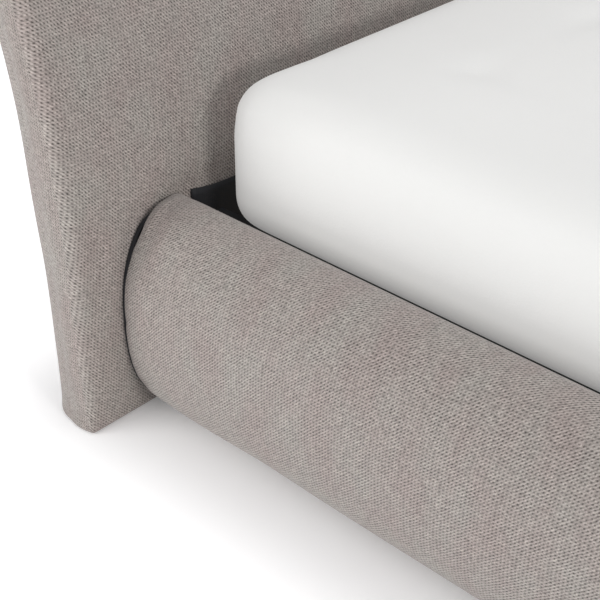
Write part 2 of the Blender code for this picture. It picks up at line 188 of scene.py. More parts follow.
def woven_cloth(name):
    """Grain height falls with 1.7cos(a+b) + 0.5cos b + 0.7cos a + 0.35cos(a-b): a and b count the yarn pairs.

    The counts come from the cloth map, in metres, moved about a little by two noises as a slack yarn is. The
    first wave is weaker or stronger where the slower noise is low or high."""
    made, tree, shader = new_material(name, 0.92, sheen=0.22)
    uv = add_node(tree, "UVMap", {"uv_map": "cloth"}).outputs["UV"]
    slack = add_node(tree, "TexNoise", None, {"Vector": uv, "Scale": 42.0, "Detail": 2.0})
    slack_shift = add_node(
        tree,
        "VectorMath",
        {"operation": "MULTIPLY_ADD"},
        {0: slack.outputs["Color"], 1: (0.0030, 0.0030, 0.0), 2: uv},
    )
    fine = add_node(tree, "TexNoise", None, {"Vector": uv, "Scale": 190.0, "Detail": 1.0})
    shifted = add_node(
        tree,
        "VectorMath",
        {"operation": "MULTIPLY_ADD"},
        {0: fine.outputs["Color"], 1: (0.0017, 0.0017, 0.0), 2: slack_shift.outputs[0]},
    )
    turns = add_node(
        tree, "VectorMath", {"operation": "SCALE"}, {0: shifted.outputs[0], "Scale": math.tau / WEAVE_PITCH}
    )
    counts = add_node(tree, "SeparateXYZ", None, {0: turns.outputs[0]})
    pairs = add_node(
        tree,
        "VectorMath",
        {"operation": "MULTIPLY_ADD"},
        {0: turns.outputs[0], 1: (1 / math.tau, 1 / math.tau, 0.0), 2: (0.5, 0.5, 0.0)},
    )
    square = add_node(tree, "VectorMath", {"operation": "FLOOR"}, {0: pairs.outputs[0]})
    single = add_node(tree, "TexWhiteNoise", {"noise_dimensions": "2D"}, {"Vector": square.outputs[0]})
    warp, weft = counts.outputs[0], counts.outputs[1]
    both = add_node(tree, "Math", {"operation": "ADD"}, {0: warp, 1: weft}).outputs[0]
    crossing = add_node(tree, "Math", {"operation": "SUBTRACT"}, {0: warp, 1: weft}).outputs[0]
    tension = add_node(
        tree,
        "MapRange",
        None,
        {
            "Value": slack.outputs[0],
            "From Min": 0.35,
            "From Max": 0.65,
            "To Min": 0.6 * BIAS_WEIGHT,
            "To Max": 1.2 * BIAS_WEIGHT,
        },
    ).outputs[0]
    waves = ((both, tension), (weft, WEFT_WEIGHT), (warp, WARP_WEIGHT), (crossing, CROSS_WEIGHT))
    total = 0.0
    for wave, weight in waves:
        crest = add_node(tree, "Math", {"operation": "COSINE"}, {0: wave})
        step = add_node(
            tree, "Math", {"operation": "MULTIPLY_ADD"}, {0: crest.outputs[0], 1: weight, 2: total}
        )
        total = step.outputs[0]
    grain = add_node(
        tree,
        "MapRange",
        None,
        {"Value": total, "From Min": 3.1, "From Max": -2.0, "To Min": 0.0, "To Max": 1.0},
    ).outputs[0]

    # Yarns differ: a noise drawn out along the bias lightens or darkens a few grains together. Single grains,
    # the pile on them and wide faded patches differ a little too.
    bias = add_node(
        tree,
        "Mapping",
        None,
        {"Vector": uv, "Rotation": (0, 0, math.radians(45)), "Scale": (120.0, 430.0, 1.0)},
    )
    yarn = add_node(tree, "TexNoise", None, {"Vector": bias.outputs[0], "Scale": 1.0, "Detail": 2.0})
    pile = add_node(tree, "TexNoise", None, {"Vector": uv, "Scale": 700.0, "Detail": 2.0})
    drawn_out = add_node(tree, "Mapping", None, {"Vector": uv, "Scale": (16.0, 8.0, 1.0)})
    patches = add_node(
        tree,
        "TexNoise",
        None,
        {"Vector": drawn_out.outputs[0], "Scale": 1.0, "Detail": 4.0, "Roughness": 0.6},
    )
    patch = add_node(
        tree, "MapRange", None, {"Value": patches.outputs[0], "From Min": 0.35, "From Max": 0.65}
    ).outputs[0]
    cast = add_node(
        tree, "MixRGB", None, {0: patch, 1: colour("#AFA39E"), 2: colour("#A9A39D")}
    )
    dark = add_node(tree, "MixRGB", None, {0: patch, 1: colour("#3F3632"), 2: colour("#3C3734")})
    shade = add_node(tree, "Math", {"operation": "POWER"}, {0: grain, 1: 0.70})
    thread = add_node(tree, "MixRGB", None, {0: shade.outputs[0], 1: dark.outputs[0], 2: cast.outputs[0]})
    yarn_light = add_node(
        tree,
        "MapRange",
        None,
        {"Value": yarn.outputs[0], "From Min": 0.3, "From Max": 0.7, "To Min": 0.74, "To Max": 1.26},
    )
    pile_light = add_node(
        tree,
        "MapRange",
        None,
        {"Value": pile.outputs[0], "From Min": 0.3, "From Max": 0.7, "To Min": 0.80, "To Max": 1.20},
    )
    fade_light = add_node(
        tree,
        "MapRange",
        None,
        {"Value": patches.outputs[0], "From Min": 0.3, "From Max": 0.7, "To Min": 0.93, "To Max": 1.07},
    )
    single_light = add_node(
        tree, "MapRange", None, {"Value": single.outputs["Value"], "To Min": 0.89, "To Max": 1.11}
    )
    light = add_node(
        tree, "Math", {"operation": "MULTIPLY"}, {0: yarn_light.outputs[0], 1: pile_light.outputs[0]}
    )
    light = add_node(
        tree, "Math", {"operation": "MULTIPLY"}, {0: light.outputs[0], 1: single_light.outputs[0]}
    )
    light = add_node(tree, "Math", {"operation": "MULTIPLY"}, {0: light.outputs[0], 1: fade_light.outputs[0]})
    dyed = add_node(
        tree, "VectorMath", {"operation": "SCALE"}, {0: thread.outputs[0], "Scale": light.outputs[0]}
    )
    tree.links.new(dyed.outputs[0], shader.inputs["Base Color"])

    fuzz = add_node(
        tree, "Math", {"operation": "MULTIPLY_ADD"}, {0: pile.outputs[0], 1: 0.25, 2: grain}
    )
    relief = add_node(
        tree, "Bump", None, {"Height": fuzz.outputs[0], "Distance": 0.0009, "Strength": 0.55}
    )
    tree.links.new(relief.outputs[0], shader.inputs["Normal"])
    return made


cloth = woven_cloth("taupe_chenille_weave")


def link_mesh(name, points, faces, finish, uv=None):
    """A new mesh object from points and faces, with the cloth map given for each corner of each face."""
    mesh = bpy.data.meshes.new(name)
    mesh.from_pydata(points, [], faces)
    if uv is not None:
        layer = mesh.uv_layers.new(name="cloth")
        layer.data.foreach_set("uv", np.asarray(uv, np.float32).ravel())
    mesh.materials.append(finish)
    shape = bmesh.new()
    shape.from_mesh(mesh)
    bmesh.ops.recalc_face_normals(shape, faces=shape.faces)
    shape.to_mesh(mesh)
    shape.free()
    mesh.shade_smooth()
    piece = bpy.data.objects.new(name, mesh)
    bpy.context.scene.collection.objects.link(piece)
    return piece


def closed_skin(name, rings, around, along, lids, finish):
    """Quads between rings of points whose last column meets the first. lids are faces given by point numbers.

    around and along hold the cloth map, with one more column than rings to close the last quad."""
    rows, columns = rings.shape[:2]
    row, column = np.meshgrid(np.arange(rows - 1), np.arange(columns), indexing="ij")
    beside = (column + 1) % columns
    quads = np.stack(
        [
            row * columns + column,
            row * columns + beside,
            (row + 1) * columns + beside,
            (row + 1) * columns + column,
        ],
        -1,
    ).reshape(-1, 4)
    cloth_map = np.stack([around, along], -1)
    corners = np.stack(
        [
            cloth_map[row, column],
            cloth_map[row, column + 1],
            cloth_map[row + 1, column + 1],
            cloth_map[row + 1, column],
        ],
        2,
    ).reshape(-1, 2)
    flat_map = cloth_map[:, :-1].reshape(-1, 2)
    lid_corners = [flat_map[list(lid)] for lid in lids]
    return link_mesh(
        name,
        rings.reshape(-1, 3),
        quads.tolist() + [list(map(int, lid)) for lid in lids],
        finish,
        np.concatenate([corners, *lid_corners]),
    )


def swell(piece, held, pressure, most, frames=20, stiffness=12.0):
    """Foam pushing on its cover: air pressure on a sheet of cloth, held where it is sewn or stapled.

    Points then move by what the cloth did, and by no more than `most` metres."""
    mesh = piece.data
    before = np.empty(len(mesh.vertices) * 3, np.float32)
    mesh.vertices.foreach_get("co", before)
    before = before.reshape(-1, 3)
    group = piece.vertex_groups.new(name="held")
    for share in np.unique(held[held > 0]):
        group.add(np.flatnonzero(held == share).tolist(), float(share), "REPLACE")
    simulation = piece.modifiers.new("Cloth", "CLOTH")
    settings = simulation.settings
    settings.quality = 4
    settings.mass = 0.3
    settings.tension_stiffness = stiffness
    settings.compression_stiffness = stiffness
    settings.shear_stiffness = stiffness / 2
    settings.bending_stiffness = 0.8
    settings.use_pressure = True
    settings.uniform_pressure_force = pressure
    settings.vertex_group_mass = "held"
    settings.effector_weights.gravity = 0.0
    simulation.collision_settings.use_collision = False
    simulation.point_cache.frame_end = frames
    for at in range(1, frames + 1):
        bpy.context.scene.frame_set(at)
    after = np.empty_like(before)
    evaluated = piece.evaluated_get(bpy.context.evaluated_depsgraph_get())
    evaluated.data.vertices.foreach_get("co", after.ravel())
    after = after.reshape(-1, 3)
    moved = after - before
    distance = np.linalg.norm(moved, axis=1, keepdims=True)
    moved *= np.minimum(1.0, most / np.maximum(distance, 1e-9))
    piece.modifiers.remove(simulation)
    piece.vertex_groups.remove(group)
    mesh.vertices.foreach_set("co", (before + moved).ravel())
    mesh.update()
    bpy.context.scene.frame_set(1)


def finer(piece, levels=1):
    """Rounds the mesh off with a subdivision surface."""
    modifier = piece.modifiers.new("Subdivision", "SUBSURF")
    modifier.levels = levels
    modifier.render_levels = levels


# ---- Headboard and footboard covers ----
# Foam, wadding and the woven cloth over a timber box: an upright face that bends outwards, leans, and
# ends in a roll. The cloth is turned under at the floor and stapled, and sewn to the back at the corners.

PADDING = 0.028
END_PADDING = 0.040
FRONT_CORNER = 0.022
LOW_CORNER = 0.005  # the front corner's radius at the floor, where the cloth is pulled tight
COVER_BOTTOM = 0.002
TURN_UNDER = 0.004
GRID = 0.020  # spacing of the mesh on the big covers, before it is subdivided


def bow(bend, radius, upright, angle):
    """A point on the bend: radius metres from its centre, which lies `bend` metres behind the face."""
    return np.stack([bend - radius * np.cos(angle), upright + radius * np.sin(angle)], -1)


def board_side(thickness, upright, bend, lean, run, roll, fillet):
    """Side outline as two chains from the floor to the top of the roll, inner face then outer face.

    Each chain is (points, unit vectors into the board, share of the way over the roll, length so far)."""
    along = np.array([math.sin(lean), math.cos(lean)])
    across = np.array([math.cos(lean), -math.sin(lean)])
    offset = thickness - roll + fillet
    drop = math.sqrt((roll + fillet) ** 2 - offset**2)
    under = math.atan2(drop, offset)
    turn = math.pi + under
    middle = 0.43 * turn
    centre = bow(bend, bend, upright, lean) + run * along + roll * across
    hollow = centre + offset * across - drop * along
    straight = run - drop

    floor_level = COVER_BOTTOM + TURN_UNDER
    heights = np.linspace(floor_level, upright, round(upright / GRID) + 1)
    angles = np.linspace(0, lean, round(bend * lean / GRID) + 1)[1:]
    reach = np.linspace(0, straight, max(1, round(straight / GRID)) + 1)[1:]
    top_count = round((drop + roll * middle) / (0.75 * GRID))

    chains = []
    for outer in (False, True):
        depth = thickness if outer else 0.0
        inward = -1.0 if outer else 1.0
        plain = np.stack([np.full_like(heights, depth), heights], -1)
        bent = bow(bend, bend - depth, upright, angles)
        leaning = bow(bend, bend - depth, upright, lean) + reach[:, None] * along
        points = [plain, bent, leaning]
        vectors = [
            np.tile([inward, 0.0], (len(heights), 1)),
            inward * np.stack([np.cos(angles), -np.sin(angles)], -1),
            np.tile(inward * across, (len(reach), 1)),
        ]
        first = fillet * under if outer else drop
        last = first + roll * ((turn - middle) if outer else middle) - GRID / 4
        way = np.linspace(0, last, top_count + 1)[1:]
        beyond = np.maximum(0.0, way - first) / roll
        angle = (turn - beyond) if outer else beyond
        outward = np.sin(angle)[:, None] * along - np.cos(angle)[:, None] * across
        rolled = centre + roll * outward
        if outer:
            curl = math.pi - np.minimum(way, first) / fillet
            radial = np.cos(curl)[:, None] * across + np.sin(curl)[:, None] * along
            low, low_vector = hollow + fillet * radial, radial
        else:
            low = bow(bend, bend, upright, lean) + (straight + way[:, None]) * along
            low_vector = np.tile(across, (len(way), 1))
        before_roll = (way <= first)[:, None]
        points.append(np.where(before_roll, low, rolled))
        vectors.append(np.where(before_roll, low_vector, -outward))
        flat = len(heights) + len(angles) + len(reach)
        share = np.concatenate(
            [np.full(flat, float(outer)), np.where(way <= first, float(outer), angle / turn)]
        )
        points = np.concatenate(points)
        steps = np.linalg.norm(np.diff(points, axis=0), axis=1)
        length = floor_level + np.concatenate([[0.0], np.cumsum(steps)])
        chains.append((points, np.concatenate(vectors), share, length))
    return chains


def board_cover(name, board, face, outward, back_corner, swelling, skew, finish):
    """Rings round the board: along the inner face, over one end, back along the outer face, over the other.

    Near an end the outline draws in by r - sqrt(r^2 - d^2), where r is the corner's radius and d the distance
    past where the corner starts. The front corner sharpens over the last 0.15 m to the floor. The outer face
    swells by s exp(-((height - 0.38) / 0.11)^2). The rings turn under at the floor and go up again inside the
    foam. The cloth was pulled on with a skew, in metres across per metre up."""
    (front, front_in, front_share, front_length), (back, back_in, back_share, back_length) = board
    corner_turns = np.sin(np.linspace(0, math.pi / 2, 10))
    right = END_X - back_corner + back_corner * corner_turns
    flat = np.linspace(0, right[0], round(right[0] / GRID) + 1)[:-1]
    half = np.concatenate([flat, right])
    x = np.concatenate([-half[:0:-1], half])
    rungs = np.linspace(0, 1, 8)[1:-1]

    def corner_inset(share, height):
        front_corner = LOW_CORNER + (FRONT_CORNER - LOW_CORNER) * np.minimum(1.0, height / 0.15)
        r = (front_corner + (back_corner - front_corner) * np.minimum(1.0, 1.4 * share))[:, None]
        past = np.maximum(0.0, np.abs(x) - (END_X - r))
        return r - np.sqrt(np.maximum(0.0, r**2 - past**2))

    def rings(rows, front_inset, back_inset, width, crown, lower=None):
        near = front[rows][:, None] + front_inset[..., None] * front_in[rows][:, None]
        far = back[rows][:, None] + back_inset[..., None] * back_in[rows][:, None]
        if lower is not None:
            near[..., 1] = lower
            far[..., 1] = lower
        across_bed = np.broadcast_to(x * width / END_X, near.shape[:2])
        near = np.concatenate([across_bed[..., None], near], -1)
        far = np.concatenate([across_bed[..., None], far], -1)
        ends = []
        for column, side in ((-1, 1), (0, -1)):
            start, stop = near[:, column, None], far[:, column, None]
            rung = start + rungs[:, None] * (stop - start)
            rung[..., 0] += side * crown * np.sin(math.pi * rungs)
            ends.append(rung)
        ring = np.concatenate([near, ends[0], far[:, ::-1], ends[1][:, ::-1]], 1)
        return np.stack([ring[..., 0], face + outward * ring[..., 1], ring[..., 2]], -1)

    every = np.arange(len(front))
    front_corner_inset = corner_inset(front_share, front[:, 1])
    back_corner_inset = corner_inset(back_share, back[:, 1])
    bulge = swelling * np.exp(-(((back[:, 1] - 0.38) / 0.11) ** 2))[:, None]
    outer = rings(every, front_corner_inset, back_corner_inset - bulge, END_X, 0.004)
    under = []
    for angle in np.linspace(0, math.pi / 2, 4)[1:]:
        inset = TURN_UNDER * (1 - math.cos(angle))
        level = COVER_BOTTOM + TURN_UNDER * (1 - math.sin(angle))
        under.append(
            rings(
                every[:1],
                front_corner_inset[:1] + inset,
                back_corner_inset[:1] + inset,
                END_X - inset,
                0.004,
                level,
            )
        )
    inside_rows = np.unique(np.append(every[::4], every[-1]))
    padding = np.full((len(inside_rows), len(x)), PADDING)
    inside_width = END_X - END_PADDING
    rim = rings(every[:1], padding[:1], padding[:1], inside_width, 0.0, COVER_BOTTOM)
    inside = rings(inside_rows, padding, padding, inside_width, 0.0)
    points = np.concatenate([outer[::-1], *under, rim, inside])
    rows, columns = points.shape[:2]

    # The cloth map runs round the board and up it. On the ends it goes from one face's length to the other's.
    floor_ring = points[len(every) - 1]
    reach = np.linalg.norm(np.diff(floor_ring, axis=0, append=floor_ring[:1]), axis=1)
    around = np.tile(np.concatenate([[0.0], np.cumsum(reach)]) - END_X, (rows, 1))
    share_at = np.concatenate([np.zeros(len(x)), rungs, np.ones(len(x)), rungs[::-1], [0.0]])
    up = front_length[:, None] + share_at * (back_length - front_length)[:, None]
    rim_up = COVER_BOTTOM * np.ones((4, columns + 1)) - 0.01 * np.arange(4)[:, None]
    along = np.concatenate([up[::-1], rim_up, -up[inside_rows]])

    lids = []
    for row in (0, rows - 1):
        first = row * columns
        near_row = first + np.arange(len(x))
        far_row = first + len(x) + len(rungs) + np.arange(len(x))[::-1]
        lids += list(zip(near_row[:-1], near_row[1:], far_row[1:], far_row[:-1]))
        end = first + len(x) + np.arange(len(rungs))
        other_end = first + 2 * len(x) + len(rungs) + np.arange(len(rungs))
        lids.append([near_row[-1], *end, far_row[-1]])
        lids.append([far_row[0], *other_end, near_row[0]])
    piece = closed_skin(name, points, around - skew * along, along, lids, finish)
    held = np.zeros((rows, columns))
    held[len(every) - 1 :] = 1.0
    pressed = (np.abs(points[..., 0]) < rail_reach) & (points[..., 2] < rail_high.z)
    held[pressed & (np.abs(points[..., 1] - face) < 0.01)] = 1.0
    return piece, held.ravel()


# Between the rails and below their tops, the rails and the lining press on the cover's inner face.
rail_low, rail_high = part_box("side_rail_cover_left")
rail_reach = -rail_low.x - 0.02
HEADBOARD_SIDE = board_side(
    thickness=0.118, upright=0.260, bend=1.550, lean=math.radians(17), run=0.340, roll=0.082, fillet=0.035
)
FOOTBOARD_SIDE = board_side(
    thickness=0.105, upright=0.300, bend=0.450, lean=math.radians(20), run=0.070, roll=0.068, fillet=0.025
)

headboard, headboard_held = board_cover(
    "headboard_upholstery",
    HEADBOARD_SIDE,
    face=HEAD_FACE,
    outward=1,
    back_corner=0.062,
    swelling=0.008,
    skew=0.145,
    finish=cloth,
)
footboard, footboard_held = board_cover(
    "footboard_upholstery",
    FOOTBOARD_SIDE,
    face=FOOT_FACE,
    outward=-1,
    back_corner=0.045,
    swelling=0.003,
    skew=0.03,
    finish=cloth,
)
for piece, held, node in (
    (headboard, headboard_held, "headboard_cover"),
    (footboard, footboard_held, "footboard_cover"),
):
    swell(piece, held, 1.5, 0.003)
    finer(piece)
    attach(piece, "bed_frame")
    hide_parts(node)


# ---- Side rails ----
# A plywood board with a foam bolster on its outer side, wrapped in the same cloth: an upright oval that
# comes down to the floor. The cloth goes over the top and under the bottom, and is stapled beside the board.

RAIL_OUTER = 0.100  # half axes of the oval, outwards and towards the mattress, and the powers of its curves
RAIL_INNER = 0.055
RAIL_OUTER_POWER = 2.4
RAIL_INNER_POWER = 4.0
RAIL_END_ROUND = 0.006
RAIL_END_TAPER = 0.008
RAIL_TAPER_LENGTH = 0.050
RAIL_END_GAP = 0.0050
FOLD_RISE = 0.0045  # a fold of slack cloth at the shoulder, and the dip behind it
FOLD_DIP = 0.0030
SHOULDER_GAP = 0.0045  # how much further from the end board the outer shoulder stays
SHADE_PAD_OUT = 0.0018  # how far the black pad on the rail's end, painted shade in the crevice, stands out past the cloth
SHADE_PAD_DRAW_IN = 0.0120  # how much it draws in over the top, where the cloth is squeezed
RAIL_GRID = 0.018
RAIL_COLUMNS = 54
JOIN_GAP = 0.0003

board_low, board_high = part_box("side_rail_board_left")
RAIL_X = -rail_low.x
RAIL_BOTTOM, RAIL_TOP = rail_low.z, rail_high.z
POCKET_X = -board_low.x + JOIN_GAP
POCKET_BOTTOM, POCKET_TOP = board_low.z - JOIN_GAP, board_high.z + JOIN_GAP


def rail_oval(inset, angle):
    """|x/a|^p + |z/b|^p = 1 by angle, with another a and p on the mattress side. Gives (inboard, up)."""
    middle = (RAIL_TOP + RAIL_BOTTOM) / 2
    half_height = (RAIL_TOP - RAIL_BOTTOM) / 2 - inset
    across, up = np.cos(angle), np.sin(angle)
    outer = across > 0
    power = np.where(outer, RAIL_OUTER_POWER, RAIL_INNER_POWER)
    reach = np.where(outer, inset - RAIL_OUTER, RAIL_INNER)
    inboard = RAIL_OUTER + reach * np.abs(across) ** (2 / power)
    return np.stack([inboard, middle + np.sign(up) * half_height * np.abs(up) ** (2 / power)], -1)


def rail_ring(inset):
    """The oval's points, evenly spaced, from the board's top edge over the outside to its bottom edge."""
    fine = rail_oval(inset, np.linspace(math.pi, -math.pi, 2001))
    inner = fine[:, 0] > RAIL_OUTER + 0.5 * RAIL_INNER
    start = np.flatnonzero(inner & (fine[:, 1] >= POCKET_TOP))[0]
    stop = np.flatnonzero(inner & (fine[:, 1] <= POCKET_BOTTOM))[-1]
    path = fine[start : stop + 1]
    length = np.concatenate([[0.0], np.cumsum(np.linalg.norm(np.diff(path, axis=0), axis=1))])
    even = np.linspace(0, length[-1], RAIL_COLUMNS)
    ring = np.stack([np.interp(even, length, path[:, 0]), np.interp(even, length, path[:, 1])], -1)
    pocket = RAIL_X - POCKET_X
    closing = [[pocket, height] for height in np.linspace(POCKET_BOTTOM, POCKET_TOP, 3)]
    return np.concatenate([ring, closing])


def rail_cover(name, sign, finish):
    """The oval carried along the rail. It narrows by t s^2 over the taper's length, s the share of the way,
    and then by r(1 - cos a) over the last r sin a, where the cloth turns over the end.

    That is multiplied by 0.5 + 0.5 exp(-((turn - 0.95) / 0.5)^2), the turn counted upwards from the outer
    side, so it is strongest at the outer shoulder. The gap to the end board closes over the top, where the
    cloth is squeezed and gathers in a fold: a rise 13 mm from the end and a dip 30 mm from it, each
    exp(-((distance - place) / width)^2). The outline of the black end pad, painted shade, is returned too."""
    half = (HEAD_FACE - FOOT_FACE) / 2 - RAIL_END_GAP
    middle = (HEAD_FACE + FOOT_FACE) / 2
    turn = np.linspace(0, math.pi / 2, 6)
    way = np.linspace(0, 1, 11)[:-1]
    taper_places = half - RAIL_END_ROUND - RAIL_TAPER_LENGTH * (1 - way)
    end_places = np.concatenate([taper_places, half - RAIL_END_ROUND + RAIL_END_ROUND * np.sin(turn)])
    end_insets = RAIL_END_TAPER * np.concatenate([way**2, np.ones(len(turn))])
    end_insets[len(way) :] += RAIL_END_ROUND * (1 - np.cos(turn))
    count = round(2 * end_places[0] / RAIL_GRID)
    between = np.linspace(-end_places[0], end_places[0], count + 1)[1:-1]
    places = np.concatenate([-end_places[::-1], between, end_places])
    insets = np.concatenate([end_insets[::-1], np.zeros(count - 1), end_insets])
    full = rail_ring(0.0)
    core = np.array([RAIL_OUTER, (RAIL_TOP + RAIL_BOTTOM) / 2])
    round_rail = np.arctan2(full[:, 1] - core[1], 1.8 * (core[0] - full[:, 0]))
    narrowing = 0.5 + 0.5 * np.exp(-(((round_rail - 0.95) / 0.5) ** 2))
    shoulder = np.exp(-(((round_rail - 0.95) / 0.4) ** 2))
    squeezed = 1 / (1 + np.exp(-(round_rail - 1.5) / 0.12))
    rings = np.stack([full + narrowing[:, None] * (rail_ring(inset) - full) for inset in insets])
    from_end = half - np.abs(places)
    fold = FOLD_RISE * np.exp(-(((from_end - 0.013) / 0.006) ** 2))
    fold -= FOLD_DIP * np.exp(-(((from_end - 0.030) / 0.010) ** 2))
    outward = full - core
    outward /= np.linalg.norm(outward, axis=1, keepdims=True)
    gathered = np.exp(-(((round_rail - 1.2) / 0.35) ** 2))
    rings = rings + fold[:, None, None] * (gathered[:, None] * outward)
    longer = 1 + ((RAIL_END_GAP - 0.0004) * squeezed - SHOULDER_GAP * shoulder) / half
    points = np.stack([sign * (RAIL_X - rings[..., 0]), middle + places[:, None] * longer, rings[..., 1]], -1)
    steps = np.linalg.norm(np.diff(full, axis=0, append=full[:1]), axis=1)
    up = -np.concatenate([[0.0], np.cumsum(steps)])
    columns = len(full)
    travel = np.tile((middle + places)[:, None], (1, columns + 1))
    lids = [np.arange(columns), (len(places) - 1) * columns + np.arange(columns)]
    piece = closed_skin(name, points, travel, np.tile(up, (len(places), 1)), lids, finish)
    held = np.zeros((len(places), columns))
    held[:, RAIL_COLUMNS - 2 :] = 1.0
    held[:, :2] = 1.0
    held[0], held[-1] = 1.0, 1.0
    shade_pad_margin = SHADE_PAD_OUT - SHADE_PAD_DRAW_IN / (1 + np.exp(-(round_rail - 1.25) / 0.08))
    return piece, held.ravel(), rings[-1] + shade_pad_margin[:, None] * outward


shade_pad_outlines = {}
for side, sign in (("left", -1), ("right", 1)):
    piece, held, shade_pad_outlines[side] = rail_cover("side_rail_upholstery_" + side, sign, cloth)
    swell(piece, held, 1.5, 0.003)
    finer(piece)
    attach(piece, "bed_frame")
    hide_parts("side_rail_cover_" + side)


# ---- Mattress ----
# A sprung mattress in a white stretch-knit ticking: a firm side panel, a sewn edge above it and a crowned
# top with small tufts. It is loose, and lies on the slats.

mattress_low, mattress_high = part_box("mattress")
MATTRESS_CORNER = 0.080
CROWN_WIDTH = 0.055
CROWN_RISE = 0.058
BOTTOM_EDGE = 0.045
SEAM_DEPTH = 0.002
MATTRESS_GRID = 0.026
MATTRESS_SLACK = 0.0015  # how much narrower it is on each side than its nominal width
TUFT_PITCH = 0.297
TUFT_FROM_SIDE = 0.304
TUFT_FROM_HEAD = 0.265
TUFT_DEPTH = 0.006
TUFT_WIDTH = 0.030


def knitted_ticking(name):
    """White double-knit: small loops 1.6 mm apart in offset rows, drawn at 3 mm so that they show."""
    made, tree, shader = new_material(name, 0.85, sheen=0.15)
    place = add_node(tree, "TexCoord").outputs["Object"]
    loops = add_node(
        tree, "TexVoronoi", {"feature": "SMOOTH_F1"}, {"Vector": place, "Scale": 330.0, "Smoothness": 0.4}
    )
    soft = add_node(tree, "TexNoise", None, {"Vector": place, "Scale": 6.0, "Detail": 3.0})
    tint = add_node(tree, "MixRGB", None, {0: soft.outputs[0], 1: colour("#CDCDCB"), 2: colour("#D1D1CF")})
    tree.links.new(tint.outputs[0], shader.inputs["Base Color"])
    shader.inputs["Emission Color"].default_value = colour("#FFFFFF")
    shader.inputs["Emission Strength"].default_value = 0.21  # painted light: the ticking glows, which lifts its shaded sides and underside
    relief = add_node(
        tree, "Bump", None, {"Height": loops.outputs["Distance"], "Distance": 0.0005, "Strength": 0.35}
    )
    tree.links.new(relief.outputs[0], shader.inputs["Normal"])
    return made


ticking = knitted_ticking("white_knit_ticking")


def quilted_block(name, low, high, finish):
    """A box of quads whose corner squares are turned into quarter discs: (a sqrt(1-b^2/2), b sqrt(1-a^2/2)).

    The top rises from the seam as a quarter ellipse over the crown's width. The bottom edge is a quarter
    circle."""
    edge = np.array([0.0, 0.004, 0.010, 0.018, 0.028, 0.040, 0.055, 0.080])

    def lines(length):
        inner = length - 2 * edge[-1]
        count = round(inner / MATTRESS_GRID)
        middle = edge[-1] + np.linspace(0, inner, count + 1)[1:-1]
        return np.concatenate([edge, middle, length - edge[::-1]]) - length / 2

    width, length = high.x - low.x, high.y - low.y
    xs, ys = lines(width), lines(length)
    grid_x, grid_y = np.meshgrid(xs, ys, indexing="ij")

    def rounded(x, y):
        a = np.maximum(0.0, (np.abs(x) - (width / 2 - MATTRESS_CORNER)) / MATTRESS_CORNER)
        b = np.maximum(0.0, (np.abs(y) - (length / 2 - MATTRESS_CORNER)) / MATTRESS_CORNER)
        corner = (a > 0) & (b > 0)
        disc_a, disc_b = a * np.sqrt(1 - b**2 / 2), b * np.sqrt(1 - a**2 / 2)
        new_x = np.sign(x) * (width / 2 - MATTRESS_CORNER + MATTRESS_CORNER * disc_a)
        new_y = np.sign(y) * (length / 2 - MATTRESS_CORNER + MATTRESS_CORNER * disc_b)
        from_edge = np.minimum(width / 2 - np.abs(x), length / 2 - np.abs(y))
        from_corner = MATTRESS_CORNER * (1 - np.sqrt(disc_a**2 + disc_b**2))
        pairs = ((new_x, x), (new_y, y), (from_corner, from_edge))
        return [np.where(corner, turned, plain) for turned, plain in pairs]

    top_x, top_y, inward = rounded(grid_x, grid_y)
    seam_level = high.z - CROWN_RISE
    crown = np.sqrt(np.maximum(0.0, 1 - (1 - np.minimum(1.0, inward / CROWN_WIDTH)) ** 2))
    top = np.stack([top_x, top_y, seam_level + CROWN_RISE * crown], -1)
    draw_in = np.where(inward < 1e-6, 1 - SEAM_DEPTH / (width / 2), 1.0)
    top[..., :2] *= draw_in[..., None]
    under = np.sqrt(np.maximum(0.0, 1 - (1 - np.minimum(1.0, inward / BOTTOM_EDGE)) ** 2))
    bottom = np.stack([top_x, top_y, low.z + BOTTOM_EDGE * (1 - under)], -1)

    rows, columns = grid_x.shape
    number = np.arange(rows * columns).reshape(rows, columns)
    rim = np.concatenate([number[:-1, 0], number[-1, :-1], number[:0:-1, -1], number[0, :0:-1]])
    levels = seam_level - (seam_level - low.z - BOTTOM_EDGE) * np.linspace(0, 1, 8)[1:-1]
    rim_places = np.stack([top_x, top_y], -1).reshape(-1, 2)[rim]
    side = np.concatenate(
        [np.concatenate([rim_places, np.full((len(rim), 1), level)], 1) for level in levels]
    )
    points = np.concatenate([top.reshape(-1, 3), bottom.reshape(-1, 3), side])
    squares = [number[:-1, :-1], number[1:, :-1], number[1:, 1:], number[:-1, 1:]]
    top_faces = np.stack(squares, -1).reshape(-1, 4)
    bottom_faces = top_faces[:, ::-1] + rows * columns
    bands = [rim]
    bands += [2 * rows * columns + i * len(rim) + np.arange(len(rim)) for i in range(len(levels))]
    bands.append(rim + rows * columns)
    side_faces = [
        np.stack([upper, np.roll(upper, -1), np.roll(lower, -1), lower], -1)
        for upper, lower in zip(bands, bands[1:])
    ]
    faces = np.concatenate([top_faces, bottom_faces, *side_faces])
    points[:, 0] += (low.x + high.x) / 2
    points[:, 1] += (low.y + high.y) / 2
    piece = link_mesh(name, points, faces.tolist(), finish)
    held = np.zeros(len(points))
    held[rim] = 1.0
    held[rows * columns : 2 * rows * columns] = 1.0
    return piece, held, points


